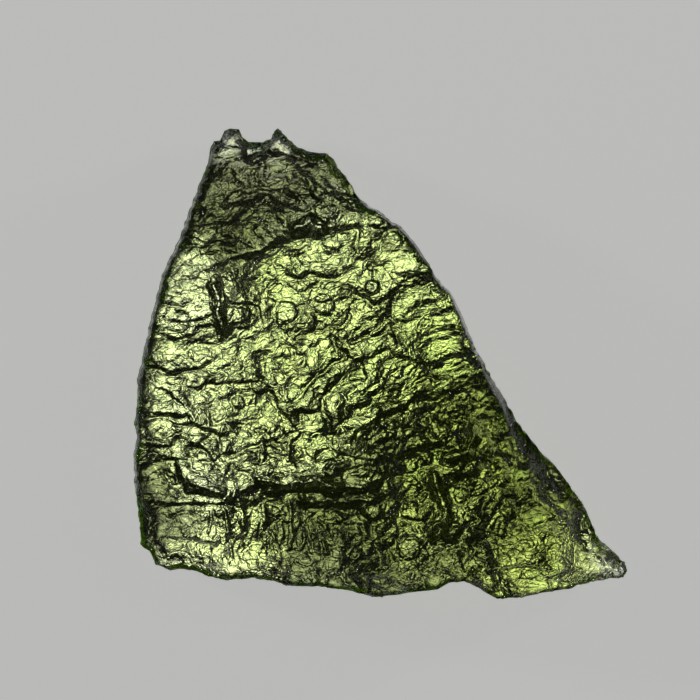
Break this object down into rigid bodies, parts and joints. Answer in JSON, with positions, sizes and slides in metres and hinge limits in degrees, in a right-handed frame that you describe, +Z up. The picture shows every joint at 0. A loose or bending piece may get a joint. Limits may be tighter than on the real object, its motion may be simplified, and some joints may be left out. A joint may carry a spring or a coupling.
{
  "type": "moldavite",
  "caption": "Etched triangular shard of olive-green natural glass, lying flat on its broad back face.",
  "frame": {"origin": "centre of the bounding box, on the surface the stone lies on", "axes": "+X along the stone's width towards its sharp corner, +Y towards its narrow tip, +Z up out of the etched face"},
  "size_m": [0.0322, 0.0306, 0.007],
  "materials": {
    "moldavite_glass": "clear olive-green natural glass with a glossy, deeply etched surface"
  },
  "bodies": {
    "root": {"moldavite": "moldavite_glass"}
  },
  "joints": []
}
